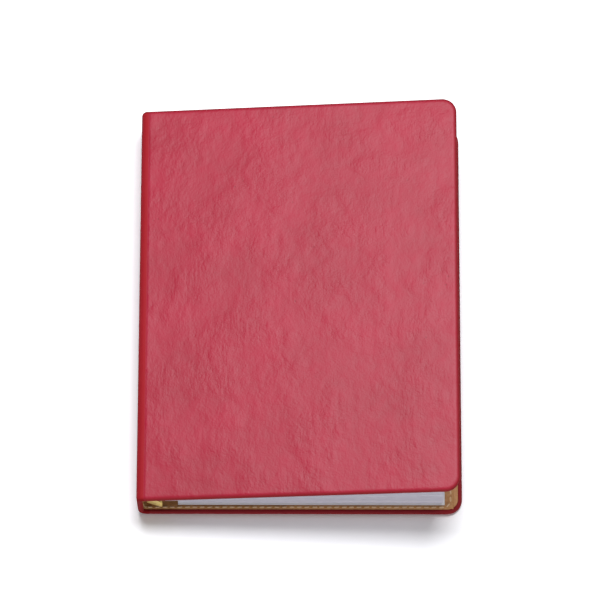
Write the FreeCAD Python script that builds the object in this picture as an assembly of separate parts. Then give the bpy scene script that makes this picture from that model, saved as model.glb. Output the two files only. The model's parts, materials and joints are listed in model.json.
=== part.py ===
"""Loose-leaf notebook cover: a three-panel leather case with a six-ring mechanism on its spine.

The case lies on its back panel. The spine wall stands along the left side, and the front panel leans up
to the right from the top of it, carried by the leaves. +X runs from the spine to the opening edge, +Y
along the spine and +Z up. The origin is the middle of the bounding box at its bottom.

Most shapes are drawn first in spine measures: across from the spine's outer face, and up from the table.
"""
import FreeCAD, Part
import math
import os

from FreeCAD import Vector

# Case
CASE_LENGTH = 220.0           # along the spine
SPINE_INSIDE = 22.8           # between the front and back linings, at the spine
BACK_WIDTH = 170.2            # from the fold axis to the opening edge
FRONT_WIDTH = 169.1
FRONT_ANGLE = 7.27            # how far the front panel leans up, in degrees
CORNER_RADIUS = 8.0
EDGE_RADIUS = 1.4

# Layers of a panel, from the outside in
SKIN = 0.8
BOARD = 1.8
LINING = 0.6
BOARD_INSET = 0.9
LINING_INSET = 2.0
AXIS_CLEARANCE = 0.2          # from the lining's face to a fold axis
BACK_FOLD_RUN = 1.8           # from the back fold's axis to where the flat panels begin

# Stitching
SEAM_FROM_SIDE = 6.2          # in from the opening edge
SEAM_FROM_END = 3.4           # in from the head and foot
THREAD_WIDTH = 0.6
THREAD_HEIGHT = 0.25
SEAM_CORNER = 4.0

# Slip pocket on the back lining
POCKET_START = 75.0           # from the back fold's axis
POCKET_SIDE_INSET = 4.6
POCKET_END_INSET = 2.6
POCKET_THICKNESS = 0.4

# Ring mechanism
RING_RADIUS = 8.2             # to the middle of the wire
WIRE_RADIUS = 1.3
RING_STAND = 11.4             # ring centre from the spine's lining
RING_LIFT = 11.3              # ring centre above the back lining
RING_PLACES = [-73.0, -54.0, -35.0, 35.0, 54.0, 73.0]
RING_END_ANGLE = 159.0        # from the meeting point of the two halves to the stem
RING_TIP_GAP = 0.1
PLATE_HALF_WIDTH = 6.4
PLATE_HALF_LENGTH = 99.0
PLATE_HEIGHT = 3.6
PLATE_SHOULDER = 1.4
PLATE_SHEET = 0.8
SLOT_CLEARANCE = 0.4
SLOT_SWING = 0.5
RAIL_SHEET = 0.8
RAIL_LIFT = 0.3
RAIL_GAP = 0.3
RAIL_PLATE_CLEARANCE = 0.4
RAIL_LEVER_GAP = 0.5
RIVET_PLACE = 88.0
RIVET_RADIUS = 1.5
RIVET_HEAD_RADIUS = 2.7
RIVET_HEAD_HEIGHT = 0.7
RIVET_TAIL_HEIGHT = 0.5
RIVET_FIT = 0.05
RIVET_RAIL_CLEARANCE = 0.9

# Levers: a tongue in the plate's end, a sloping neck and an upright thumb tab. The upper face's turning
# points are given as height over the spine's lining, and distance along the spine.
LEVER_SHEET = 1.0
LEVER_TONGUE_HALF_WIDTH = 3.2
LEVER_TAB_HALF_WIDTH = 5.0
LEVER_TONGUE = (1.2, 93.5)
LEVER_MOUTH = (1.9, 99.4)
LEVER_KNEE = (2.9, 105.2)
LEVER_TIP = (10.4, 107.5)

# Leaves
LEAF_HALF_LENGTH = 104.5
LEAF_WIDTH = 148.6
HOLE_RADIUS = 3.0
HOLE_PATH_EXTRA = 0.7         # the holes follow a path this much outside the ring's own
PACK_CLEARANCE = 0.3          # above the pocket
BACK_SHEET = 0.4
BACK_SHEET_LEDGE = 1.0
PACK_SPLIT_BELOW = 1.5        # the lower pack's top, below the ring centre at its left edge
PACK_SPLIT_GAP = 0.6
LOWER_FAN_ANGLE = 7.4         # slope of the lower pack's top
PACK_PLATE_CLEARANCE = 0.4    # over the rivet heads, when the case lies open
PACK_PLATE_SIDE = 0.5         # beside the plate, when the case lies open
PACK_COVER_CLEARANCE = 0.4    # to the front panel, when the case lies open
UPPER_EXTRA_ANGLE = 0.55      # how much more steeply the upper pack leans than the front panel

PANEL = SKIN + BOARD + LINING
AXIS_DEPTH = PANEL + AXIS_CLEARANCE
CASE_WIDTH = AXIS_DEPTH + BACK_WIDTH
HALF_LENGTH = CASE_LENGTH / 2
RING_ACROSS = PANEL + RING_STAND
RING_UP = PANEL + RING_LIFT
LEAF_LEFT = RING_ACROSS
LEAF_RIGHT = LEAF_LEFT + LEAF_WIDTH
BACK_AXIS = (AXIS_DEPTH, AXIS_DEPTH)
SPINE_HEIGHT = SPINE_INSIDE + 2 * PANEL
FRONT_AXIS = (AXIS_DEPTH, SPINE_HEIGHT - AXIS_DEPTH)
FOLD_START = AXIS_DEPTH + BACK_FOLD_RUN
RAIL_HALF_LENGTH = LEVER_TONGUE[1] - RAIL_LEVER_GAP
RAIL_PIVOT_ACROSS = PANEL + RAIL_LIFT + RAIL_SHEET / 2
RAIL_PIVOT_OFFSET = PLATE_HALF_WIDTH - PLATE_SHEET - RAIL_PLATE_CLEARANCE
MECHANISM_HEIGHT = PANEL + PLATE_HEIGHT + RIVET_HEAD_HEIGHT
PACK_RELIEF = RING_ACROSS - MECHANISM_HEIGHT - PACK_PLATE_CLEARANCE
PACK_RELIEF_WIDTH = PLATE_HALF_WIDTH + PACK_PLATE_SIDE
UPPER_TOP = RING_STAND - PACK_COVER_CLEARANCE
ALONG = Vector(0, 1, 0)
SWING = Vector(0, -1, 0)      # a positive turn takes +X towards +Z


def at(across, along, up):
    """A point in the row's frame, from spine measures."""
    return Vector(across - CASE_WIDTH / 2, along, up)


def prism(outline, low, high):
    """An outline of (across, up) points, carried along the spine from low to high."""
    corners = [at(across, low, up) for across, up in outline]
    face = Part.Face(Part.makePolygon(corners + corners[:1]))
    return face.extrude(ALONG * (high - low))


def bent_strip(centre, inner, outer, start_angle, end_angle, half_length):
    """A strip of a round fold: an arc's section carried along the spine."""
    def polar(radius, angle):
        turn = math.radians(angle)
        return at(centre[0] + radius * math.cos(turn), -half_length, centre[1] + radius * math.sin(turn))

    middle_angle = (start_angle + end_angle) / 2
    outer_arc = Part.Arc(polar(outer, start_angle), polar(outer, middle_angle), polar(outer, end_angle))
    inner_arc = Part.Arc(polar(inner, end_angle), polar(inner, middle_angle), polar(inner, start_angle))
    edges = [
        outer_arc.toShape(),
        Part.makeLine(polar(outer, end_angle), polar(inner, end_angle)),
        inner_arc.toShape(),
        Part.makeLine(polar(inner, start_angle), polar(outer, start_angle)),
    ]
    return Part.Face(Part.Wire(edges)).extrude(ALONG * (2 * half_length))


def sheet(start, end, half_length, radius, low, high):
    """A flat sheet from start to end, with two rounded corners at its end if radius is above 0."""
    if radius <= 0:
        return Part.makeBox(end - start, 2 * half_length, high - low, Vector(start, -half_length, low))
    diagonal = radius * (1 - math.sqrt(0.5))
    near = Vector(start, -half_length, low)
    foot = Vector(end - radius, -half_length, low)
    foot_side = Vector(end, radius - half_length, low)
    head_side = Vector(end, half_length - radius, low)
    head = Vector(end - radius, half_length, low)
    far = Vector(start, half_length, low)
    foot_arc = Part.Arc(foot, Vector(end - diagonal, diagonal - half_length, low), foot_side)
    head_arc = Part.Arc(head_side, Vector(end - diagonal, half_length - diagonal, low), head)
    edges = [
        Part.makeLine(near, foot),
        foot_arc.toShape(),
        Part.makeLine(foot_side, head_side),
        head_arc.toShape(),
        Part.makeLine(head, far),
        Part.makeLine(far, near),
    ]
    return Part.Face(Part.Wire(edges)).extrude(Vector(0, 0, high - low))


def panel_layers(start, end, corner):
    """Leather, board and lining of one flat panel, outside face at height 0."""
    def free(inset, low, high):
        reach = end - inset if corner > 0 else end
        return sheet(start, reach, HALF_LENGTH - inset, max(corner - inset, 0), low, high)

    def is_free_edge(edge):
        flat = abs(edge.BoundBox.ZLength) < 1e-6
        box = edge.BoundBox
        at_start = box.XMax < start + 1e-6
        at_open_end = corner <= 0 and box.XMin > end - 1e-6
        return flat and not at_start and not at_open_end

    outer = free(0, 0, PANEL)
    outer = outer.makeFillet(EDGE_RADIUS, [edge for edge in outer.Edges if is_free_edge(edge)])
    board = free(BOARD_INSET, SKIN, SKIN + BOARD)
    lining = free(LINING_INSET, SKIN + BOARD, PANEL)
    leather = outer.cut(board).cut(lining)
    return leather, board, lining


def placed(shape, axis, angle, outside_left):
    """A flat shape moved so that it runs from a fold axis at an angle, its outer face on one side."""
    result = shape.copy()
    if outside_left:
        result.rotate(Vector(0, 0, 0), Vector(1, 0, 0), 180)
        result.translate(Vector(0, 0, AXIS_DEPTH))
    else:
        result.translate(Vector(0, 0, -AXIS_DEPTH))
    result.rotate(Vector(0, 0, 0), SWING, angle)
    result.translate(at(axis[0], 0, axis[1]))
    return result


def seam(start, end, side_inset):
    """A thread laid along the head, the opening side and the foot of a panel."""
    outer = sheet(start, end - side_inset + THREAD_WIDTH / 2,
                  HALF_LENGTH - SEAM_FROM_END + THREAD_WIDTH / 2,
                  SEAM_CORNER, PANEL, PANEL + THREAD_HEIGHT)
    inner = sheet(start - 1, end - side_inset - THREAD_WIDTH / 2,
                  HALF_LENGTH - SEAM_FROM_END - THREAD_WIDTH / 2,
                  SEAM_CORNER - THREAD_WIDTH, PANEL - 1, PANEL + THREAD_HEIGHT + 1)
    return outer.cut(inner)


def make_back_panel(nodes):
    leather, board, lining = panel_layers(BACK_FOLD_RUN, BACK_WIDTH, CORNER_RADIUS)
    pocket = sheet(POCKET_START, BACK_WIDTH - POCKET_SIDE_INSET, HALF_LENGTH - POCKET_END_INSET,
                   CORNER_RADIUS - POCKET_SIDE_INSET, PANEL, PANEL + POCKET_THICKNESS)
    thread = seam(BACK_FOLD_RUN, BACK_WIDTH, SEAM_FROM_SIDE)
    region = Part.makeBox(BACK_WIDTH, CASE_LENGTH, 3 * PANEL, Vector(POCKET_START, -HALF_LENGTH, 0))
    on_lining = thread.cut(region)
    on_pocket = thread.common(region)
    on_pocket.translate(Vector(0, 0, POCKET_THICKNESS))
    flat_nodes = {
        "back_leather": leather,
        "back_board": board,
        "back_lining": lining,
        "back_pocket": pocket,
        "back_stitching": Part.makeCompound(on_lining.Solids + on_pocket.Solids),
    }
    for name, shape in flat_nodes.items():
        nodes[name] = placed(shape, BACK_AXIS, 0, False)


def make_front_panel(nodes):
    leather, board, lining = panel_layers(0, FRONT_WIDTH, CORNER_RADIUS)
    flat_nodes = {
        "front_leather": leather,
        "front_board": board,
        "front_lining": lining,
        "front_stitching": seam(0, FRONT_WIDTH, SEAM_FROM_SIDE),
    }
    for name, shape in flat_nodes.items():
        nodes[name] = placed(shape, FRONT_AXIS, FRONT_ANGLE, True)


def rivet_hole(place, radius, low, high):
    """A round cutter across the spine wall."""
    return Part.makeCylinder(radius, high - low, at(low, place, RING_UP), Vector(1, 0, 0))


def make_spine(nodes):
    top = FRONT_AXIS[1] - BACK_AXIS[1]
    leather, board, lining = panel_layers(BACK_FOLD_RUN, top, 0)
    leather = placed(leather, BACK_AXIS, 90, True)
    board = placed(board, BACK_AXIS, 90, True)
    lining = placed(lining, BACK_AXIS, 90, True)
    for place in (-RIVET_PLACE, RIVET_PLACE):
        shank = rivet_hole(place, RIVET_RADIUS + RIVET_FIT, SKIN, PANEL)
        tail = rivet_hole(place, RIVET_HEAD_RADIUS + RIVET_FIT, SKIN, SKIN + RIVET_TAIL_HEIGHT)
        board = board.cut(shank).cut(tail)
        lining = lining.cut(shank)
    nodes["spine_leather"] = leather
    nodes["spine_board"] = board
    nodes["spine_lining"] = lining

    threads = []
    for side in (-1, 1):
        place = side * (HALF_LENGTH - SEAM_FROM_END) - THREAD_WIDTH / 2
        length = FRONT_AXIS[1] - FOLD_START
        corner = at(PANEL, place, FOLD_START)
        threads.append(Part.makeBox(THREAD_HEIGHT, THREAD_WIDTH, length, corner))
    nodes["spine_stitching"] = Part.makeCompound(threads)


def make_folds(nodes):
    """The unboarded leather and lining that bend where two panels meet."""
    centre = (FOLD_START, FOLD_START)
    lining_half = HALF_LENGTH - LINING_INSET
    nodes["back_fold"] = bent_strip(centre, FOLD_START - SKIN, FOLD_START, 180, 270, HALF_LENGTH)
    nodes["back_fold_lining"] = bent_strip(centre, FOLD_START - PANEL, FOLD_START - SKIN - BOARD,
                                           180, 270, lining_half)
    lean = 90 + FRONT_ANGLE
    nodes["front_fold"] = bent_strip(FRONT_AXIS, AXIS_DEPTH - SKIN, AXIS_DEPTH, lean, 180, HALF_LENGTH)
    nodes["front_fold_lining"] = bent_strip(FRONT_AXIS, AXIS_CLEARANCE, AXIS_CLEARANCE + LINING,
                                            lean, 180, lining_half)


def plate_section(margin):
    """The plate's arched section: upright sides, then one arc over the top, drawn margin inside it."""
    side = PLATE_HALF_WIDTH - margin
    shoulder = PANEL + PLATE_SHOULDER
    crown = PANEL + PLATE_HEIGHT - margin
    low_foot = at(PANEL, 0, RING_UP - side)
    low_shoulder = at(shoulder, 0, RING_UP - side)
    high_shoulder = at(shoulder, 0, RING_UP + side)
    high_foot = at(PANEL, 0, RING_UP + side)
    arch = Part.Arc(low_shoulder, at(crown, 0, RING_UP), high_shoulder)
    edges = [
        Part.makeLine(low_foot, low_shoulder),
        arch.toShape(),
        Part.makeLine(high_shoulder, high_foot),
        Part.makeLine(high_foot, low_foot),
    ]
    return Part.Face(Part.Wire(edges))


def stem_offset():
    """How far a half ring's stem stands from the ring centre, along the spine wall."""
    return RING_RADIUS * math.sin(math.radians(RING_END_ANGLE))


def make_plate(nodes):
    span = ALONG * (2 * PLATE_HALF_LENGTH)
    outer = plate_section(0).extrude(span)
    inner = plate_section(PLATE_SHEET).extrude(span)
    plate = outer.cut(inner)
    plate.translate(ALONG * -PLATE_HALF_LENGTH)
    half_slot = WIRE_RADIUS + SLOT_CLEARANCE
    for place in RING_PLACES:
        for side in (-1, 1):
            low = stem_offset() - half_slot
            height = 2 * half_slot + SLOT_SWING
            base = RING_UP + (low if side > 0 else -low - height)
            slot = Part.makeBox(PLATE_HEIGHT, 2 * half_slot, height,
                                at(PANEL + PLATE_SHOULDER, place - half_slot, base))
            plate = plate.cut(slot)
    for place in (-RIVET_PLACE, RIVET_PLACE):
        plate = plate.cut(rivet_hole(place, RIVET_RADIUS + RIVET_FIT, PANEL, PANEL + 2 * PLATE_HEIGHT))
    nodes["ring_plate"] = plate

    rivets = []
    for place in (-RIVET_PLACE, RIVET_PLACE):
        crown = PANEL + PLATE_HEIGHT
        shank = rivet_hole(place, RIVET_RADIUS, SKIN, crown + RIVET_HEAD_HEIGHT / 2)
        tail = rivet_hole(place, RIVET_HEAD_RADIUS, SKIN, SKIN + RIVET_TAIL_HEIGHT)
        head = rivet_hole(place, RIVET_HEAD_RADIUS, crown, crown + RIVET_HEAD_HEIGHT)
        rounded = [edge for edge in head.Edges
                   if edge.BoundBox.XMin > at(crown, 0, 0).x + RIVET_HEAD_HEIGHT / 2]
        head = head.makeFillet(RIVET_HEAD_HEIGHT * 0.8, rounded)
        rivets.append(shank.fuse([tail, head]).removeSplitter())
    nodes["mechanism_rivets"] = Part.makeCompound(rivets)


def make_rings(nodes):
    """Two rails under the plate, each carrying one half of every ring."""
    rail_base = PANEL + RAIL_LIFT
    for side, name in ((1, "upper"), (-1, "lower")):
        low = RAIL_GAP if side > 0 else -RAIL_PIVOT_OFFSET
        width = RAIL_PIVOT_OFFSET - RAIL_GAP
        rail = Part.makeBox(RAIL_SHEET, 2 * RAIL_HALF_LENGTH, width,
                            at(rail_base, -RAIL_HALF_LENGTH, RING_UP + low))
        for place in (-RIVET_PLACE, RIVET_PLACE):
            notch = RIVET_RADIUS + RIVET_RAIL_CLEARANCE
            rail = rail.cut(rivet_hole(place, notch, PANEL, PANEL + PLATE_HEIGHT))
        nodes[name + "_rail"] = rail

        halves = []
        tip_angle = math.degrees(RING_TIP_GAP / RING_RADIUS)
        stem_across = RING_ACROSS + RING_RADIUS * math.cos(math.radians(RING_END_ANGLE))
        stem_up = RING_UP + side * stem_offset()
        for place in RING_PLACES:
            centre = at(RING_ACROSS, place, RING_UP)
            tip = centre + Vector(RING_RADIUS, 0, 0)
            section = Part.Face(Part.Wire(Part.makeCircle(WIRE_RADIUS, tip, Vector(0, 0, 1))))
            section.rotate(centre, SWING, side * tip_angle)
            wire = section.revolve(centre, SWING * side, RING_END_ANGLE - tip_angle)
            stem_end = at(stem_across, place, stem_up)
            root = at(rail_base + RAIL_SHEET, place, stem_up)
            stem = Part.makeCylinder(WIRE_RADIUS, stem_end.x - root.x, root, Vector(1, 0, 0))
            halves.append(wire.fuse([stem, Part.makeSphere(WIRE_RADIUS, stem_end)]))
        nodes[name + "_half_rings"] = Part.makeCompound(halves)


def lever_solid(points, half_width):
    """A sheet that follows (height, along) points, its thickness outward and down."""
    def offset_points():
        shifted = []
        for index, point in enumerate(points):
            before = points[max(index - 1, 0)]
            after = points[min(index + 1, len(points) - 1)]
            normals = []
            for first, second in ((before, point), (point, after)):
                run = (second[0] - first[0], second[1] - first[1])
                length = math.hypot(*run)
                if length > 0:
                    normals.append((-run[1] / length, run[0] / length))
            rise = sum(normal[0] for normal in normals)
            reach = sum(normal[1] for normal in normals)
            scale = LEVER_SHEET * len(normals) / (rise ** 2 + reach ** 2)
            shifted.append((point[0] + rise * scale, point[1] + reach * scale))
        return shifted

    outline = list(points) + offset_points()[::-1]
    corners = [at(PANEL + height, along, RING_UP - half_width) for height, along in outline]
    face = Part.Face(Part.makePolygon(corners + corners[:1]))
    return face.extrude(Vector(0, 0, 2 * half_width))


def make_levers(nodes):
    tongue = lever_solid([LEVER_TONGUE, LEVER_MOUTH, LEVER_KNEE], LEVER_TONGUE_HALF_WIDTH)
    blade = lever_solid([LEVER_MOUTH, LEVER_KNEE, LEVER_TIP], LEVER_TAB_HALF_WIDTH)
    tip_x = at(PANEL + LEVER_TIP[0], 0, 0).x
    corner_edges = [edge for edge in blade.Edges
                    if edge.BoundBox.ZLength < 1e-6 and edge.BoundBox.XMin > tip_x - 2 * LEVER_SHEET]
    blade = blade.makeFillet(LEVER_TAB_HALF_WIDTH * 0.4, corner_edges)
    lever = blade.fuse(tongue).removeSplitter()
    nodes["top_lever"] = lever
    nodes["bottom_lever"] = lever.mirror(Vector(0, 0, 0), ALONG)


def ring_path_cutters():
    """Round tunnels through the leaves, each on a circle about the rings' common axis."""
    path_radius = RING_RADIUS + HOLE_PATH_EXTRA
    centres = [at(RING_ACROSS, place, RING_UP) for place in RING_PLACES]
    return [Part.makeTorus(path_radius, HOLE_RADIUS, centre, ALONG) for centre in centres]


def make_leaves(nodes):
    bottom = PANEL + POCKET_THICKNESS + PACK_CLEARANCE
    leaf_bottom = bottom + BACK_SHEET
    split = RING_UP - PACK_SPLIT_BELOW
    rise = (LEAF_RIGHT - LEAF_LEFT) * math.tan(math.radians(LOWER_FAN_ANGLE))
    relief_right = LEAF_LEFT + PACK_RELIEF_WIDTH
    lower = prism([
        (LEAF_LEFT, split),
        (LEAF_LEFT, RING_UP - PACK_RELIEF),
        (relief_right, RING_UP - PACK_RELIEF),
        (relief_right, leaf_bottom),
        (LEAF_RIGHT, leaf_bottom),
        (LEAF_RIGHT, split + rise),
    ], -LEAF_HALF_LENGTH, LEAF_HALF_LENGTH)
    back_sheet = prism([
        (relief_right, bottom),
        (LEAF_RIGHT + BACK_SHEET_LEDGE, bottom),
        (LEAF_RIGHT + BACK_SHEET_LEDGE, leaf_bottom),
        (relief_right, leaf_bottom),
    ], -LEAF_HALF_LENGTH - BACK_SHEET_LEDGE, LEAF_HALF_LENGTH + BACK_SHEET_LEDGE)

    upper_bottom = split + PACK_SPLIT_GAP
    upper = prism([
        (LEAF_LEFT, upper_bottom),
        (LEAF_RIGHT, upper_bottom),
        (LEAF_RIGHT, RING_UP + UPPER_TOP),
        (relief_right, RING_UP + UPPER_TOP),
        (relief_right, RING_UP + PACK_RELIEF),
        (LEAF_LEFT, RING_UP + PACK_RELIEF),
    ], -LEAF_HALF_LENGTH, LEAF_HALF_LENGTH)
    upper.rotate(at(RING_ACROSS, 0, RING_UP), SWING, FRONT_ANGLE + UPPER_EXTRA_ANGLE)

    for cutter in ring_path_cutters():
        lower = lower.cut(cutter)
        back_sheet = back_sheet.cut(cutter)
        upper = upper.cut(cutter)
    nodes["lower_leaves"] = lower
    nodes["back_sheet"] = back_sheet
    nodes["upper_leaves"] = upper


def main():
    os.makedirs("parts", exist_ok=True)
    nodes = {}
    make_back_panel(nodes)
    make_front_panel(nodes)
    make_spine(nodes)
    make_folds(nodes)
    make_plate(nodes)
    make_rings(nodes)
    make_levers(nodes)
    make_leaves(nodes)
    for name, shape in nodes.items():
        shape.exportStep("parts/" + name + ".step")
        print(name, len(shape.Solids), round(shape.Volume, 2), shape.isValid())
    folds = {"back": BACK_AXIS, "front": FRONT_AXIS, "ring centre": (RING_ACROSS, RING_UP)}
    for name, (across, up) in folds.items():
        print(name, "axis at", at(across, 0, up))
    for side in (-1, 1):
        print("rail pivot at", at(RAIL_PIVOT_ACROSS, 0, RING_UP + side * RAIL_PIVOT_OFFSET))


main()
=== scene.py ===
"""Looks of a red loose-leaf notebook cover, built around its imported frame.

Lengths are in metres. +X runs from the spine to the opening edge, +Y along the spine and +Z up.
The case's leather and lining are drawn flat first: `run` is the distance along the outer face from the
middle of the spine wall, round a fold and out to the opening edge, `along` follows the spine, and `depth`
goes in from the outer face. `Wrap.place` then bends that flat sheet round the fold.
"""
import json
import math

import bmesh
import bpy
import numpy as np
from mathutils import Matrix, Vector


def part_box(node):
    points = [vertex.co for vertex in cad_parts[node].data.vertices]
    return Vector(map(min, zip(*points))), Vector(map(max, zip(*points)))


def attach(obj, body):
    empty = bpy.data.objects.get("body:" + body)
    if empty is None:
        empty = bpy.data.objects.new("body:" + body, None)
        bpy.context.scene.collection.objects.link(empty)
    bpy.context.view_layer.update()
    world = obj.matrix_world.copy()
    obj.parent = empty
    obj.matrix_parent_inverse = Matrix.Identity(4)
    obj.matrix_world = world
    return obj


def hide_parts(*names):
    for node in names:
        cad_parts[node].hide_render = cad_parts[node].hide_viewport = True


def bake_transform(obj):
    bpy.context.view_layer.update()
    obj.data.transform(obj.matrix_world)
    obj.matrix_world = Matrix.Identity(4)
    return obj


MM = 0.001
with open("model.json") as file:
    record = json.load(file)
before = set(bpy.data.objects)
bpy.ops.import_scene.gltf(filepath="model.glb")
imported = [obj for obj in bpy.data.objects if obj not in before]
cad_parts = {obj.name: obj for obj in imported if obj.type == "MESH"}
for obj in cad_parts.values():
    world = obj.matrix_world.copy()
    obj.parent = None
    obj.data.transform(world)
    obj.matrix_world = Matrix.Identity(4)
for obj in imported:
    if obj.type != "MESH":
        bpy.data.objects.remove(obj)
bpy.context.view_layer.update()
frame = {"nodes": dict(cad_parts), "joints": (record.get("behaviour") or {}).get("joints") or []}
JOINTS = {joint["name"]: joint for joint in frame["joints"]}

# Sizes read from the frame
CASE_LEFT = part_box("spine_leather")[0].x
HALF_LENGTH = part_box("back_leather")[1].y
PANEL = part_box("back_leather")[1].z
BACK_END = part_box("back_leather")[1].x
BACK_FOLD_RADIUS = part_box("back_leather")[0].x - CASE_LEFT
FRONT_AXIS = np.array(JOINTS["front_cover_fold"]["pos_m"])
FRONT_TURN = math.radians(JOINTS["front_cover_fold"]["range_deg"][1])
RING_AXIS = np.array(JOINTS["lower_leaves_turn"]["pos_m"])
SPINE_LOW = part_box("spine_leather")[0].z
SPINE_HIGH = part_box("spine_leather")[1].z
SPINE_MIDDLE = (SPINE_LOW + SPINE_HIGH) / 2

# Case: the flat front panel past its fold, the layers, and the shaping of the edge
FRONT_WIDTH = 169.1 * MM
SKIN = 0.8 * MM
LINING = 0.6 * MM
CORNER_RADIUS = 8 * MM
EDGE_WIDTH = 2.4 * MM             # how far in the outer face begins to round over
EDGE_DROP = 1.7 * MM              # how deep that rounding goes
EDGE_BACK = 1.3 * MM              # radius on the lining side
LINING_INSET = 2.2 * MM
BOARD_INSET = 0.9 * MM
HINGE_GROOVE = 0.9 * MM           # from the fold's end to the groove's middle

# Stitching
SEAM_FROM_SIDE = 6.2 * MM
SEAM_FROM_END = 3.4 * MM
SEAM_CORNER = 3.6 * MM
STITCH_PITCH = 4.0 * MM
STITCH_LENGTH = 2.9 * MM
STITCH_WIDTH = 0.85 * MM
STITCH_HEIGHT = 0.42 * MM

# Slip pocket on the back lining
AXIS_DEPTH = 3.4 * MM             # of the back fold's axis, in from the spine's outer face
POCKET_START = 75 * MM            # from the back fold's axis
POCKET_THICKNESS = 0.4 * MM
POCKET_SIDE_INSET = 4.6 * MM
POCKET_END_INSET = 2.6 * MM
POCKET_RIM = 0.5 * MM             # how much of the rim is rolled down
POCKET_HEM = 0.12 * MM            # how far the hem stands up
POCKET_HEM_INSET = 2.2 * MM       # from the open edge to the hem's crest

# Leaves
LEAF_WIDTH = 148.6 * MM
LEAF_HALF_LENGTH = 104.5 * MM
LEAF_EDGE = 0.02 * MM
LEAF_GAP = 0.12                   # of a leaf's thickness
LEAF_SCATTER = 0.04 * MM
LOWER_LEAVES = 90
UPPER_LEAVES = 60
LOWER_SLOPE = math.radians(7.4)
UPPER_TURN = math.radians(7.82)
PLATE_RELIEF_HEIGHT = 6.7 * MM    # below or above the ring axis, where leaves clear the plate
PLATE_RELIEF_WIDTH = 6.9 * MM
RING_HOLE_RADIUS = 3.0 * MM
RING_HOLE_PATH = 8.9 * MM
RING_PLACES = [-73 * MM, -54 * MM, -35 * MM, 35 * MM, 54 * MM, 73 * MM]

# Display colours, 0 to 255; the floor's shade to the eye and to other light; the depth of the grain
FLOOR_SEEN = 1.3
FLOOR_BOUNCE = 0.35
FLOOR_DROP = 0.05 * MM            # how far under the case the floor lies
LEATHER_DARK = (159, 12, 45)
LEATHER_LIGHT = (172, 17, 53)
# painted shade: a deeper, darker red laid on the fold and spine wall, where the leather turns away from the
# lamp
LEATHER_FOLD_SHADE = (156, 5, 16)
# painted shade: a darker red laid over the rounded edges and the turn-in, which face away from the lamp
LEATHER_EDGE_SHADE = (128, 4, 14)
LEATHER_RELIEF = 0.00045

# Camera: tilt from straight down, swing and roll in degrees; the lens on a 36 mm sensor
CAMERA_ANGLES = (18.0, 0.27, -0.15)
CAMERA_TARGET = (-0.3 * MM, 11.1 * MM, 0)
CAMERA_DISTANCE = 2.2
CAMERA_LENS = 242.16
WORLD_LIGHT = 0.2

rng = np.random.default_rng(11)


# ---------------------------------------------------------------- meshes

def grid_faces(rows, columns, start=0):
    """Quads of a rows by columns grid of points that begins at index start."""
    index = start + np.arange(rows * columns).reshape(rows, columns)
    corners = (index[:-1, :-1], index[:-1, 1:], index[1:, 1:], index[1:, :-1])
    return np.stack(corners, axis=-1).reshape(-1, 4)


def new_piece(name, points, faces, finish, flat=None, sharp=35):
    """A mesh object from arrays: doubles merged, open ends closed, normals outward, sharp edges marked.

    `flat` keeps each point's place on the flat sheet, for the finish to follow when the sheet bends.
    """
    mesh = bpy.data.meshes.new(name)
    mesh.from_pydata(np.asarray(points).reshape(-1, 3).tolist(), [], np.asarray(faces).tolist())
    if flat is not None:
        layer = mesh.attributes.new("flat", "FLOAT_VECTOR", "POINT")
        layer.data.foreach_set("vector", np.asarray(flat, dtype=np.float32).ravel())
    work = bmesh.new()
    work.from_mesh(mesh)
    bmesh.ops.remove_doubles(work, verts=work.verts, dist=2e-6)
    bmesh.ops.dissolve_degenerate(work, edges=work.edges, dist=1e-7)
    rim = [edge for edge in work.edges if len(edge.link_faces) == 1]
    bmesh.ops.holes_fill(work, edges=rim, sides=0)
    bmesh.ops.recalc_face_normals(work, faces=work.faces)
    work.to_mesh(mesh)
    work.free()
    mesh.shade_smooth()
    mesh.set_sharp_from_angle(angle=math.radians(sharp))
    piece = bpy.data.objects.new(name, mesh)
    bpy.context.scene.collection.objects.link(piece)
    mesh.materials.append(finish)
    return piece


class Wrap:
    """A flat sheet wrapped up or down from the middle of the spine wall and round one fold.

    The path goes straight up the wall for `rise`, turns through `turn` on an arc of `radius`, and goes
    straight on. With a = clip((run - rise) / radius, 0, turn) and r = radius - depth, the point is
    x = radius - r cos a + rest sin a and z = min(run, rise) + r sin a + rest cos a.
    """

    def __init__(self, rise, radius, turn, panel, upward):
        self.rise = rise
        self.radius = radius
        self.turn = turn
        self.run = rise + radius * turn + panel
        self.flat_start = rise + radius * turn
        self.sign = 1 if upward else -1

    def place(self, run, along, depth):
        angle = np.clip((run - self.rise) / self.radius, 0, self.turn)
        rest = np.maximum(run - self.flat_start, 0)
        inner = self.radius - depth
        across = self.radius - inner * np.cos(angle) + rest * math.sin(self.turn)
        up = np.minimum(run, self.rise) + inner * np.sin(angle) + rest * math.cos(self.turn)
        along = along + np.zeros_like(across)
        return np.stack([CASE_LEFT + across, along, SPINE_MIDDLE + self.sign * up], axis=-1)

    def sheet(self, run, along, depth):
        """The same points on the flat sheet, with the run counted from the end of the fold.

        The front half's sheet lies a whole metre higher, so that its grain differs from the back half's.
        Signal.off_whole takes that metre off again where a finish needs the depth itself.
        """
        metre_up = 0.5 * (1 + self.sign)
        across = run - self.flat_start + np.zeros_like(along)
        side = depth + metre_up + np.zeros_like(across)
        return np.stack([across, along + np.zeros_like(across), side], axis=-1)

    def lines(self, reach, spacing):
        """Places along the run up to reach: close together round the fold, even elsewhere."""
        wall = np.linspace(0, self.rise, 5)
        fold = np.linspace(self.rise, self.flat_start, 15)
        count = int((reach - self.flat_start) / spacing) + 2
        hinge = self.flat_start + np.linspace(0, 3, 9)[1:] * MM
        panel = np.linspace(self.flat_start + 3 * MM, reach, count)
        return np.unique(np.round(np.concatenate([wall, fold, hinge, panel]), 9))


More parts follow.
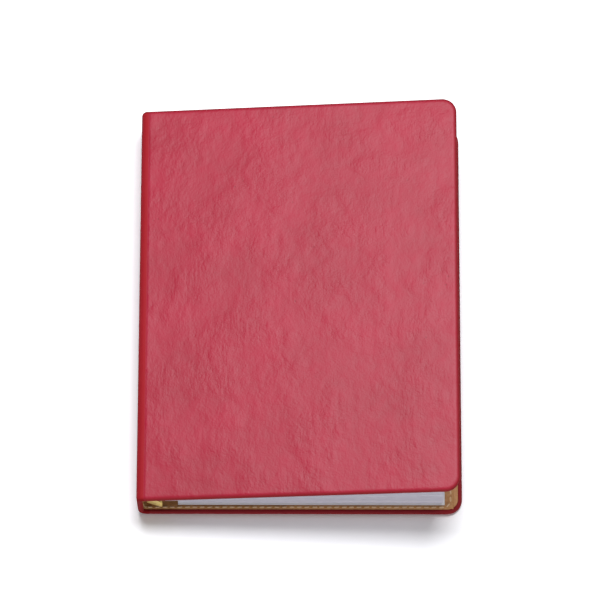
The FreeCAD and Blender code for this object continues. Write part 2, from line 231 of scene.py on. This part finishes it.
front_wrap = Wrap(SPINE_HIGH - SPINE_MIDDLE, FRONT_AXIS[0] - CASE_LEFT, FRONT_TURN, FRONT_WIDTH, True)
back_wrap = Wrap(SPINE_MIDDLE - SPINE_LOW, BACK_FOLD_RADIUS, math.pi / 2,
                 BACK_END - CASE_LEFT - BACK_FOLD_RADIUS, False)
POCKET_EDGE = back_wrap.flat_start + POCKET_START - (BACK_FOLD_RADIUS - AXIS_DEPTH)


def strip(run, along, out_run, out_along):
    """Points of a loop, a row each: the place on the flat sheet and the direction that points outwards."""
    return np.stack(np.broadcast_arrays(run, along, out_run, out_along), axis=-1)


def case_sheet(name, wrap, inset, corner, border, finish, relief=None):
    """A sheet of the case: two faces, and a border that runs round the foot, opening side and head.

    The border's loop is the inner rectangle's edge with an outward direction at each point. Ring i of the
    border is loop + outward * (corner - inset_i) at depth_i, so that the outline has round corners.
    """
    half = HALF_LENGTH - inset - corner
    reach = wrap.run - inset - corner
    run_lines = wrap.lines(reach, 4 * MM)
    along_lines = np.linspace(-half, half, 54)
    turn = np.linspace(0, math.pi / 2, 10)[1:-1]
    foot = strip(run_lines, -half, 0, -1)
    foot_corner = strip(reach, -half, np.sin(turn), -np.cos(turn))
    side = strip(reach, along_lines, 1, 0)
    head_corner = strip(reach, half, np.cos(turn), np.sin(turn))
    head = strip(run_lines[::-1], half, 0, 1)
    loop = np.concatenate([foot, foot_corner, side, head_corner, head])
    insets = np.array([point[0] for point in border])[:, None]
    depths = np.array([point[1] for point in border])[:, None] + np.zeros(len(loop))
    ring_run = loop[:, 0] + loop[:, 2] * (corner - insets)
    ring_along = loop[:, 1] + loop[:, 3] * (corner - insets)
    run_grid, along_grid = np.meshgrid(run_lines, along_lines, indexing="ij")
    parts = [(ring_run, ring_along, depths)]
    for depth in (border[0][1], border[-1][1]):
        parts.append((run_grid, along_grid, np.full_like(run_grid, depth)))
    points, flat, faces, start = [], [], [], 0
    for run, along, depth in parts:
        flat.append(wrap.sheet(run, along, depth).reshape(-1, 3))
        if relief is not None:
            depth = depth + relief(run, along, depth)
        points.append(wrap.place(run, along, depth).reshape(-1, 3))
        faces.append(grid_faces(*run.shape, start))
        start += run.size
    return new_piece(name, np.concatenate(points), np.concatenate(faces), finish, np.concatenate(flat))


def leather_border():
    """From the outer face over the rounded edge to the turn-in, then back inside under the board."""
    under = PANEL - LINING
    turn_in = [(LINING_INSET - 0.25 * MM, PANEL), (LINING_INSET - 0.05 * MM, PANEL - 0.12 * MM)]
    inside = [(LINING_INSET, under), (BOARD_INSET, under), (BOARD_INSET, SKIN), (4 * MM, SKIN)]
    outer = [(CORNER_RADIUS, 0), (5 * MM, 0), (3.2 * MM, 0)]
    turn = np.linspace(0, math.pi / 2, 8)
    over = [(EDGE_WIDTH * (1 - math.sin(a)), EDGE_DROP * (1 - math.cos(a))) for a in turn]
    back = [(EDGE_BACK * (1 - math.cos(a)), PANEL - EDGE_BACK * (1 - math.sin(a))) for a in turn]
    return outer + over + back + turn_in + inside + [(CORNER_RADIUS, SKIN)]


def lining_border(corner):
    """The lining's top face, a softly rounded cut edge, and its underside."""
    lip = 0.22 * MM
    turn = np.linspace(0, math.pi / 2, 4)
    edge = [(lip * (1 - math.sin(a)), PANEL - lip * (1 - math.cos(a))) for a in turn]
    under = PANEL - LINING + 0.02 * MM
    return [(corner, PANEL), (2 * MM, PANEL)] + edge + [(0, under), (corner, under)]


def hand_relief(run, along, depth):
    """The outer face's slight unevenness: long waves up to 0.3 mm inwards, and a hinge groove 0.4 mm deep.

    Crossed sines of run and along make the waves. The groove is 0.4 exp(-(distance / 0.6 mm)^2). Both grow
    from nothing over the first 12 mm past the spine wall, and fade out half way through the panel.
    """
    outer = np.clip(1 - depth / (0.5 * PANEL), 0, 1) * np.clip((run - front_wrap.rise) / (12 * MM), 0, 1)
    wave = np.sin(run * 61 + 1.3 * np.sin(along * 33)) + np.sin(along * 47 + 2.1 * np.sin(run * 29) + 1)
    fine = np.sin(run * 173 + along * 91) * np.sin(along * 139 - run * 57 + 0.7)
    groove = 0.4 * np.exp(-((run - front_wrap.flat_start - HINGE_GROOVE) / (0.6 * MM)) ** 2)
    return outer * (0.16 + 0.05 * wave + 0.03 * fine + groove) * MM


def seam_path(wrap, start):
    """Dense (run, along) points of the seam: foot, rounded turn, opening side, rounded turn, head."""
    side = wrap.run - SEAM_FROM_SIDE
    half = HALF_LENGTH - SEAM_FROM_END
    count = 400
    turn = np.linspace(0, math.pi / 2, 14)
    centre = side - SEAM_CORNER
    foot_run = np.linspace(start, centre, count)
    corner_run = centre + SEAM_CORNER * np.sin(turn)
    corner_along = half - SEAM_CORNER * (1 - np.cos(turn))
    side_along = np.linspace(-half + SEAM_CORNER, half - SEAM_CORNER, count)
    run = np.concatenate([foot_run, corner_run, np.full(count, side), corner_run[::-1], foot_run[::-1]])
    along = np.concatenate([np.full(count, -half), -corner_along, side_along,
                            corner_along[::-1], np.full(count, half)])
    return run, along


def stitches(name, wrap, start, lift, finish):
    """Single stitches along the seam: each a flattened spindle, its ends sunk into the lining.

    With t from -1 to 1 along a stitch, its half width is w sqrt(1 - t^4) and its top stands
    h sqrt(1 - t^4) - 0.3 h t^4 up, h being the stitch's height.
    """
    run, along = seam_path(wrap, start)
    step = np.hypot(np.diff(run), np.diff(along))
    length = np.concatenate([[0], np.cumsum(step)])
    count = int((length[-1] - STITCH_PITCH) / STITCH_PITCH)
    middle = (length[-1] - (count - 1) * STITCH_PITCH) / 2 + np.arange(count) * STITCH_PITCH
    middle = middle + rng.normal(0, 0.08 * MM, count)
    ends = middle + np.array([[-1], [1]]) * STITCH_LENGTH / 2
    end_run = np.interp(ends, length, run)
    end_along = np.interp(ends, length, along)
    slant = rng.normal(0.05, 0.03, count)
    centre = np.stack([end_run.mean(axis=0), end_along.mean(axis=0)], axis=-1)
    forward = np.stack([end_run[1] - end_run[0], end_along[1] - end_along[0]], axis=-1) / 2
    reach = np.linalg.norm(forward, axis=1, keepdims=True)
    sideways = np.stack([-forward[:, 1], forward[:, 0]], axis=-1) / reach
    forward = forward + sideways * slant[:, None] * reach
    t = np.array([-1, -0.86, -0.55, 0, 0.55, 0.86, 1])[:, None]
    around = np.linspace(0, 2 * math.pi, 9)[None, :-1]
    full = np.sqrt(np.clip(1 - t ** 4, 0.0004, 1))
    wide = STITCH_WIDTH / 2 * full * np.cos(around)
    high = STITCH_HEIGHT * full * np.sin(around) - 0.3 * STITCH_HEIGHT * t ** 4
    flat = centre[:, None, None] + forward[:, None, None] * t[..., None]
    flat = flat + sideways[:, None, None] * wide[..., None]
    depth = PANEL + lift(flat[..., 0]) + high
    points = wrap.place(flat[..., 0], flat[..., 1], depth).reshape(-1, 3)
    sheet = wrap.sheet(flat[..., 0], flat[..., 1], depth).reshape(-1, 3)
    rings, spokes = len(t), around.shape[1]
    ring = np.arange(spokes)
    tube = np.concatenate([
        np.stack([row * spokes + ring, row * spokes + (ring + 1) % spokes,
                  (row + 1) * spokes + (ring + 1) % spokes, (row + 1) * spokes + ring], axis=-1)
        for row in range(rings - 1)])
    faces = (tube[None] + (np.arange(count) * rings * spokes)[:, None, None]).reshape(-1, 4)
    return new_piece(name, points, faces, finish, sheet, sharp=80)


def pocket_sheet(name, wrap, finish):
    """The slip pocket: a thin sheet over the lining with a rolled rim and a hem along its open edge.

    Its top is thickness sqrt(min(distance from the rim / POCKET_RIM, 1)) over the lining, and the hem adds
    a low ridge with straight flanks.
    """
    start = POCKET_EDGE
    end = wrap.run - POCKET_SIDE_INSET
    half = HALF_LENGTH - POCKET_END_INSET
    count = 61
    u = np.linspace(0, 1, count)
    ease = np.sin((u - 0.5) * math.pi) / 2 + 0.5
    run, along = np.meshgrid(start + (end - start) * ease, half * (2 * ease - 1), indexing="ij")
    rim = np.minimum.reduce([run - start, end - run, half - np.abs(along)])
    top = PANEL + POCKET_THICKNESS * np.sqrt(np.clip(rim / POCKET_RIM, 0.0, 1))
    hem = POCKET_HEM * np.clip(1 - np.abs(run - start - POCKET_HEM_INSET) / POCKET_HEM_INSET, 0, 1)
    upper = wrap.place(run, along, top + hem)
    lower = wrap.place(run, along, np.full_like(run, PANEL + 0.01 * MM))
    points = np.concatenate([upper.reshape(-1, 3), lower.reshape(-1, 3)])
    faces = np.concatenate([grid_faces(count, count), grid_faces(count, count, count * count)])
    sheet = wrap.sheet(run, along, top).reshape(-1, 3)
    return new_piece(name, points, faces, finish, np.concatenate([sheet, sheet]), sharp=50)


def pocket_lift(run):
    """How far the seam is lifted where it runs over the pocket."""
    return POCKET_THICKNESS * np.clip((run - POCKET_EDGE + POCKET_RIM) / (2 * POCKET_RIM), 0, 1)


def no_lift(run):
    """The front panel has no pocket under its seam."""
    return np.zeros_like(run)


def ring_tunnels():
    """Round cutters on the rings' own path: a tube of the holes' radius turned about the ring axis.

    With R the path's radius and r the hole's, a point is ((R + r cos b) cos a, r sin b, (R + r cos b) sin a).
    """
    steps = 96
    sides = 24
    turn = np.linspace(0, 2 * math.pi, steps + 1)[:-1]
    around = np.linspace(0, 2 * math.pi, sides + 1)[:-1]
    a, b = np.meshgrid(turn, around, indexing="ij")
    reach = RING_HOLE_PATH + RING_HOLE_RADIUS * np.cos(b)
    torus = np.stack([reach * np.cos(a), RING_HOLE_RADIUS * np.sin(b), reach * np.sin(a)], axis=-1)
    index = np.arange(steps * sides).reshape(steps, sides)
    ahead, beside = np.roll(index, -1, axis=0), np.roll(index, -1, axis=1)
    faces = np.stack([index, beside, np.roll(ahead, -1, axis=1), ahead], axis=-1).reshape(-1, 4)
    points = np.concatenate([(torus + RING_AXIS + [0, place, 0]).reshape(-1, 3) for place in RING_PLACES])
    all_faces = np.concatenate([faces + steps * sides * i for i in range(len(RING_PLACES))])
    return new_piece("ring_tunnels", points, all_faces, bpy.data.materials.new("cutter"))


def leaf_slabs(name, left, low, high, turn, finish, cutter):
    """A stack of leaves as thin closed slabs, with the ring tunnels cut through them.

    `left` is each leaf's left end. `low` and `high` are the heights of its lower and upper face over the
    ring axis, at the left and the right. The whole stack is turned about the ring axis by `turn`.
    """
    count = len(left)
    ends = LEAF_HALF_LENGTH - np.abs(rng.normal(0, 0.09 * MM, (count, 2)))
    right = LEAF_WIDTH - np.abs(rng.normal(0, 0.16 * MM, count))
    slope_low = (low[:, 1] - low[:, 0]) / LEAF_WIDTH
    slope_high = (high[:, 1] - high[:, 0]) / LEAF_WIDTH
    corners = []
    for across in (left, right):
        for along in (-ends[:, 0], ends[:, 1]):
            corners.append(np.stack([across, along, low[:, 0] + slope_low * across], axis=-1))
            corners.append(np.stack([across, along, high[:, 0] + slope_high * across], axis=-1))
    points = np.stack(corners, axis=1).reshape(-1, 3)
    box = np.array([[0, 1, 3, 2], [4, 6, 7, 5], [0, 4, 5, 1], [2, 3, 7, 6], [1, 5, 7, 3], [0, 2, 6, 4]])
    faces = (box[None] + 8 * np.arange(count)[:, None, None]).reshape(-1, 4)
    cos, sin = math.cos(turn), math.sin(turn)
    turned = np.stack([points[:, 0] * cos - points[:, 2] * sin, points[:, 1],
                       points[:, 0] * sin + points[:, 2] * cos], axis=-1)
    piece = new_piece(name, turned + RING_AXIS, faces, finish)
    cut = piece.modifiers.new("holes", "BOOLEAN")
    cut.operation = "DIFFERENCE"
    cut.solver = "MANIFOLD"
    cut.object = cutter
    graph = bpy.context.evaluated_depsgraph_get()
    mesh = bpy.data.meshes.new_from_object(piece.evaluated_get(graph))
    piece.modifiers.clear()
    piece.data = mesh
    mesh.set_sharp_from_angle(angle=math.radians(35))
    return piece


def split_stack(count, low, high):
    """The low and high height of each leaf, at its left and right, with a fine gap under each."""
    share = np.linspace(0, 1, count + 1)[:, None]
    edges = np.array(low) + (np.array(high) - np.array(low)) * share
    gap = (edges[1:] - edges[:-1]) * LEAF_GAP
    return edges[:-1] + gap, edges[1:]


# ---------------------------------------------------------------- finishes

class Signal:
    """A shader socket that can be used in sums: each operator adds one Math node."""

    def __init__(self, finish, socket):
        self.finish = finish
        self.socket = socket

    def _math(self, operation, first, second):
        return self.finish.node("ShaderNodeMath", {"operation": operation}, {0: first, 1: second})

    def __add__(self, other):
        return self._math("ADD", self, other)

    def __sub__(self, other):
        return self._math("SUBTRACT", self, other)

    def __rsub__(self, other):
        return self._math("SUBTRACT", other, self)

    def __mul__(self, other):
        return self._math("MULTIPLY", self, other)

    def off_whole(self):
        """How far the value is above the nearest whole number."""
        return self - self._math("ROUND", self, 0.0)

    def over(self, low, high):
        """0 below low, 1 above high, straight between; low may be the larger."""
        return self.finish.node("ShaderNodeMapRange", {"clamp": True}, {0: self, 1: low, 2: high})

    __radd__ = __add__
    __rmul__ = __mul__


class Finish:
    """A material under construction."""

    def __init__(self, name, on_sheet=False):
        self.material = bpy.data.materials.new(name)
        self.material.use_nodes = True
        self.tree = self.material.node_tree
        self.shader = self.tree.nodes["Principled BSDF"]
        if on_sheet:
            self.place = self.node("ShaderNodeAttribute", {"attribute_name": "flat"}, {}, "Vector")
        else:
            self.place = self.node("ShaderNodeTexCoord", {}, {}, "Object")

    def node(self, kind, settings, inputs, output=0):
        """Any node: its settings first, then the values or links of its sockets."""
        made = self.tree.nodes.new(kind)
        for key, value in settings.items():
            setattr(made, key, value)
        for key, value in inputs.items():
            self.feed(made.inputs[key], value)
        return Signal(self, made.outputs[output])

    def feed(self, socket, value):
        if isinstance(value, Signal):
            self.tree.links.new(value.socket, socket)
        else:
            socket.default_value = value

    def set(self, **values):
        for key, value in values.items():
            self.feed(self.shader.inputs[key.replace("_", " ")], value)

    def stretched(self, x, y, z, turn=0.0):
        """The place in cells per metre along each axis, the axes first turned about Z."""
        cell = (1 / x, 1 / y, 1 / z)
        inputs = {0: self.place, 2: (0, 0, turn), 3: cell}
        return self.node("ShaderNodeMapping", {"vector_type": "TEXTURE"}, inputs)

    def noise(self, scale, detail=3.0, rough=0.5, at=None):
        inputs = {"Vector": at or self.place, "Scale": scale, "Detail": detail, "Roughness": rough}
        return self.node("ShaderNodeTexNoise", {}, inputs)

    def cells(self, scale, feature):
        return self.node("ShaderNodeTexVoronoi", {"feature": feature}, {"Vector": self.place, "Scale": scale})

    def blend(self, amount, first, second):
        """One colour over another; 6 and 7 are the Mix node's colour sockets and 2 its colour output."""
        return self.node("ShaderNodeMix", {"data_type": "RGBA"}, {0: amount, 6: first, 7: second}, 2)

    def bump(self, height, distance, strength=1.0):
        inputs = {"Height": height, "Distance": distance, "Strength": strength}
        return self.node("ShaderNodeBump", {}, inputs)


def colour(red, green, blue):
    """A display colour, 0 to 255, as the linear colour that a shader takes."""
    return tuple((channel / 255) ** 2.2 for channel in (red, green, blue)) + (1.0,)


def red_leather():
    """Soft red leather: low wrinkles that break up the gloss, fine pebbles, short creases and a few pores.
    Pores and creases, the fold and spine wall, and the rounded edges carry painted shade.
    """
    finish = Finish("red_leather", on_sheet=True)
    clouds = finish.noise(24, 4, 0.55)
    wrinkles = finish.noise(1, 5, 0.6, finish.stretched(170, 115, 140))
    slanted = finish.noise(1, 4, 0.6, finish.stretched(420, 110, 300, 0.9))
    strokes = finish.noise(1, 3, 0.6, finish.stretched(480, 120, 300))
    side = finish.noise(13, 1).over(0.44, 0.56)
    pebble = finish.cells(1100, "SMOOTH_F1")
    pores = finish.cells(170, "F1").over(0.13, 0.03)
    pore_mask = finish.noise(70, 2).over(0.54, 0.66)
    bent = finish.node("ShaderNodeTexNoise", {}, {"Vector": finish.place, "Scale": 80.0, "Detail": 4.0}, 1)
    creases = finish.node("ShaderNodeTexNoise", {}, {"Vector": bent, "Scale": 9.0, "Detail": 2.0})
    creases = creases.over(0.49, 0.5) - creases.over(0.5, 0.51)
    crease_mask = finish.noise(52, 3).over(0.54, 0.68)
    marks = pores * pore_mask * 0.5 + creases * crease_mask * 0.22
    shade = (clouds * 0.6 + wrinkles * 0.4).over(0.36, 0.64)
    base = finish.blend(shade, colour(*LEATHER_DARK), colour(*LEATHER_LIGHT))
    run = finish.node("ShaderNodeSeparateXYZ", {}, {0: finish.place})
    depth = finish.node("ShaderNodeSeparateXYZ", {}, {0: finish.place}, 2).off_whole()
    rim = depth.over(0.02 * MM, 0.6 * MM)
    hinge = run.over(HINGE_GROOVE + 0.5 * MM, HINGE_GROOVE - 0.3 * MM)
    grain = slanted * side + strokes * (1 - side)
    patches = finish.noise(38, 2).over(0.42, 0.62)
    height = wrinkles * (0.55 + patches * 0.7) + grain * patches * 0.35 + pebble * 0.1 - marks * 0.2
    # painted shade: pores and creases are painted a darker red as well as sunk by the bump
    marked = finish.blend(marks, base, colour(112, 8, 18))
    # painted shade: the fold and spine wall are painted a deeper, darker red
    fold_shaded = finish.blend(hinge * 0.75, marked, colour(*LEATHER_FOLD_SHADE))
    # painted shade: the rounded edges and the turn-in are painted a darker red
    edge_shaded = finish.blend(rim * 0.85, fold_shaded, colour(*LEATHER_EDGE_SHADE))
    finish.set(Base_Color=edge_shaded, Roughness=0.42 + 0.12 * wrinkles + 0.3 * hinge + 0.3 * rim, IOR=1.5,
               Normal=finish.bump(height, LEATHER_RELIEF, 1.0), Specular_IOR_Level=0.42)
    return finish.material


def tan_lining():
    """Tan lining of imitation leather: an even fine grain with faint flecks."""
    finish = Finish("tan_lining", on_sheet=True)
    grain = finish.cells(1300, "SMOOTH_F1")
    flecks = finish.noise(600, 3, 0.6)
    clouds = finish.noise(40, 3)
    tone = (flecks * 0.6 + clouds * 0.4).over(0.36, 0.64)
    finish.set(Base_Color=finish.blend(tone, colour(172, 116, 66), colour(200, 148, 96)), Roughness=0.62,
               Normal=finish.bump(grain * 0.6 + flecks * 0.5, 0.00007, 0.7))
    return finish.material


def thread():
    """Waxed linen thread with the slanting lay of its twist."""
    finish = Finish("waxed_thread", on_sheet=True)
    lay = finish.node("ShaderNodeTexWave", {"wave_type": "BANDS", "bands_direction": "DIAGONAL"},
                      {"Vector": finish.place, "Scale": 900.0, "Distortion": 1.5})
    finish.set(Base_Color=finish.blend(lay, colour(206, 164, 120), colour(240, 212, 172)), Roughness=0.55,
               Normal=finish.bump(lay, 0.00008, 0.8))
    return finish.material


def paper():
    """Uncoated white paper: the faintest mottle, and fibres along the cut edges."""
    finish = Finish("paper")
    mottle = finish.noise(300, 4, 0.6)
    layers = finish.noise(1, 2, 0.5, finish.stretched(40, 40, 5200))
    tone = (mottle * 0.4 + layers * 0.6).over(0.3, 0.7)
    finish.set(Base_Color=finish.blend(tone, colour(222, 218, 234), colour(240, 237, 248)), Roughness=0.85,
               Normal=finish.bump(layers * 0.6 + mottle * 0.2, 0.00006, 0.5))
    return finish.material


def card():
    """Thin white card, a little whiter and smoother than the leaves."""
    finish = Finish("white_card")
    mottle = finish.noise(220, 3)
    finish.set(Base_Color=finish.blend(mottle, colour(236, 235, 236), colour(248, 247, 247)), Roughness=0.6)
    return finish.material


def brass():
    """Lacquered gold-coloured plate: fine drawn lines, a few scuffs and dulled patches."""
    finish = Finish("gold_plate")
    drawn = finish.noise(1, 3, 0.6, finish.stretched(2600, 60, 2600))
    dull = finish.noise(150, 4, 0.6).over(0.42, 0.7)
    tint = finish.blend(dull, colour(255, 234, 146), colour(232, 200, 108))
    finish.set(Base_Color=tint, Metallic=1.0, Roughness=0.28 + drawn * 0.14 + dull * 0.14,
               Normal=finish.bump(drawn, 0.00002, 0.5))
    return finish.material


def steel():
    """Plain pressed steel strip with rolling lines."""
    finish = Finish("pressed_steel")
    drawn = finish.noise(1, 3, 0.6, finish.stretched(1800, 40, 1800))
    finish.set(Base_Color=finish.blend(drawn, colour(150, 150, 152), colour(190, 190, 192)), Metallic=1.0,
               Roughness=0.34 + drawn * 0.2)
    return finish.material


def board():
    """Grey binder's board with pulp flecks."""
    finish = Finish("binders_board")
    flecks = finish.noise(700, 4, 0.7).over(0.4, 0.65)
    finish.set(Base_Color=finish.blend(flecks, colour(150, 142, 132), colour(186, 178, 166)), Roughness=0.9)
    return finish.material


def floor_finish():
    """White floor: the camera and mirrors see it bright, while it bounces much less light on the pieces."""
    finish = Finish("studio_floor")
    path = finish.tree.nodes.new("ShaderNodeLightPath")
    seen = Signal(finish, path.outputs["Is Camera Ray"])
    seen = seen + Signal(finish, path.outputs["Is Glossy Ray"])
    seen = (seen + Signal(finish, path.outputs["Is Transmission Ray"])).over(0, 1)
    bounced = (FLOOR_BOUNCE, FLOOR_BOUNCE, FLOOR_BOUNCE, 1)
    tint = finish.blend(seen, bounced, (FLOOR_SEEN, FLOOR_SEEN, FLOOR_SEEN * 1.005, 1))
    finish.set(Base_Color=tint, Roughness=1.0, Specular_IOR_Level=0.0)
    return finish.material


LEATHER = red_leather()
TAN = tan_lining()
THREAD = thread()
PAPER = paper()
CARD = card()
BRASS = brass()
STEEL = steel()
BOARD_GREY = board()


# ---------------------------------------------------------------- pieces

def case_half(side, wrap, lift):
    """One half of the case, from the middle of the spine wall to an opening edge."""
    lining_corner = CORNER_RADIUS - LINING_INSET
    leather = case_sheet(side + "_half_leather", wrap, 0, CORNER_RADIUS, leather_border(), LEATHER,
                         hand_relief)
    lining = case_sheet(side + "_half_lining", wrap, LINING_INSET + 0.03 * MM, lining_corner,
                        lining_border(lining_corner), TAN)
    threads = stitches(side + "_half_stitches", wrap, 2 * MM, lift, THREAD)
    middle = np.array(0.0)
    half_depth = np.array(PANEL * 0.5)
    fold_in = wrap.place(np.array(wrap.flat_start), middle, half_depth)
    fold_out = wrap.place(np.array(wrap.rise), middle, half_depth)
    for piece, slot in ((leather, "red_leather"), (lining, "tan_lining"), (threads, "thread")):
        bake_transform(piece)
    return leather, lining, threads


def make_case():
    """Both halves of the case and the pocket, and the frame's nodes that they stand in for."""
    front = case_half("front", front_wrap, no_lift)
    back = case_half("back", back_wrap, pocket_lift)
    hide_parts("front_leather", "front_fold")
    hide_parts("back_leather", "back_fold", "spine_leather")
    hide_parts("front_lining", "front_fold_lining")
    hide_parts("back_lining", "back_fold_lining", "spine_lining")
    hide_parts("front_stitching", "spine_stitching")
    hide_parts("back_stitching")
    pocket = pocket_sheet("back_slip_pocket", back_wrap, TAN)
    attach(pocket, "back_cover")
    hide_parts("back_pocket")


def make_leaves():
    """Two stacks of thin leaves, cut by the rings' tunnels; the card lies under the lower one."""
    cutter = ring_tunnels()
    low_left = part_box("back_sheet")[1].z - RING_AXIS[2]
    split = -1.5 * MM
    rise = LEAF_WIDTH * math.tan(LOWER_SLOPE)
    low, high = split_stack(LOWER_LEAVES, (low_left, low_left), (split, split + rise))
    left = np.where(low[:, 0] < -PLATE_RELIEF_HEIGHT, PLATE_RELIEF_WIDTH, LEAF_EDGE)
    left = left + np.abs(rng.normal(0, LEAF_SCATTER, LOWER_LEAVES))
    lower = leaf_slabs("lower_leaf_stack", left, low, high, 0, PAPER, cutter)
    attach(lower, "lower_leaves")
    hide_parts("lower_leaves")

    bottom = -0.9 * MM
    top = 11.0 * MM
    low, high = split_stack(UPPER_LEAVES, (bottom, bottom), (top, top))
    left = np.where(high[:, 0] > PLATE_RELIEF_HEIGHT, PLATE_RELIEF_WIDTH, LEAF_EDGE)
    left = left + np.abs(rng.normal(0, LEAF_SCATTER, UPPER_LEAVES))
    upper = leaf_slabs("upper_leaf_stack", left, low, high, UPPER_TURN, PAPER, cutter)
    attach(upper, "upper_leaves")
    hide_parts("upper_leaves")
    bpy.data.objects.remove(cutter)


def dress_cad_nodes():
    """The pieces whose shape is already right keep it, and take a finish."""
    finishes = {
        "ring_plate": BRASS, "mechanism_rivets": BRASS, "upper_half_rings": BRASS, "lower_half_rings": BRASS,
        "top_lever": BRASS, "bottom_lever": BRASS, "upper_rail": STEEL, "lower_rail": STEEL,
        "back_sheet": CARD, "back_board": BOARD_GREY, "front_board": BOARD_GREY, "spine_board": BOARD_GREY,
    }
    for name, finish in finishes.items():
        node = frame["nodes"][name]
        node.data.materials.clear()
        node.data.materials.append(finish)


# ---------------------------------------------------------------- stage

def area_light(name, place, target, size, power, tint=(1, 1, 1)):
    """A rectangular lamp at place that faces target."""
    lamp = bpy.data.lights.new(name, "AREA")
    lamp.shape = "RECTANGLE"
    lamp.size, lamp.size_y = size
    lamp.energy = power
    lamp.color = tint
    holder = bpy.data.objects.new(name, lamp)
    holder.location = place
    holder.rotation_euler = (Vector(target) - Vector(place)).to_track_quat("-Z", "Y").to_euler()
    bpy.context.scene.collection.objects.link(holder)


def make_stage():
    """The white floor, an even pale world and two soft lamps."""
    corners = np.array([[-6, -6, 0], [6, -6, 0], [6, 6, 0], [-6, 6, 0]], float) - [0, 0, FLOOR_DROP]
    mesh = bpy.data.meshes.new("studio_floor")
    mesh.from_pydata(corners.tolist(), [], [(0, 1, 2, 3)])
    mesh.materials.append(floor_finish())
    floor = bpy.data.objects.new("studio_floor", mesh)
    bpy.context.scene.collection.objects.link(floor)
    world = bpy.data.worlds.new("studio")
    bpy.context.scene.world = world
    world.use_nodes = True
    world.node_tree.nodes["Background"].inputs[0].default_value = (1.0, 1.0, 1.0, 1)
    world.node_tree.nodes["Background"].inputs[1].default_value = WORLD_LIGHT
    area_light("key_from_above", (0.06, 0.42, 1.42), (0, 0, 0), (0.9, 0.6), 22.5, (0.98, 0.99, 1.03))
    area_light("low_front_fill", (0.1, -1.6, 0.3), (0, 0, 0), (1.2, 0.4), 9)


def make_camera():
    """The camera stands over the near end and looks down along a slope, with a long lens."""
    tilt, swing, roll = (math.radians(angle) for angle in CAMERA_ANGLES)
    away = Vector((math.sin(swing) * math.sin(tilt), -math.cos(swing) * math.sin(tilt), math.cos(tilt)))
    right = (-away).cross(Vector((0, 0, 1))).normalized()
    up = right.cross(-away)
    side = math.cos(roll) * right + math.sin(roll) * up
    top = -math.sin(roll) * right + math.cos(roll) * up
    target = Vector(CAMERA_TARGET)
    lens = bpy.data.cameras.new("camera")
    lens.lens = CAMERA_LENS
    lens.sensor_width = 36
    lens.clip_end = 30
    camera = bpy.data.objects.new("camera", lens)
    bpy.context.scene.collection.objects.link(camera)
    matrix = Matrix((side, top, away)).transposed().to_4x4()
    matrix.translation = target + away * CAMERA_DISTANCE
    camera.matrix_world = matrix
    bpy.context.scene.camera = camera


make_camera()
make_case()
make_leaves()
dress_cad_nodes()
make_stage()
bpy.context.scene.view_settings.view_transform = "Standard"
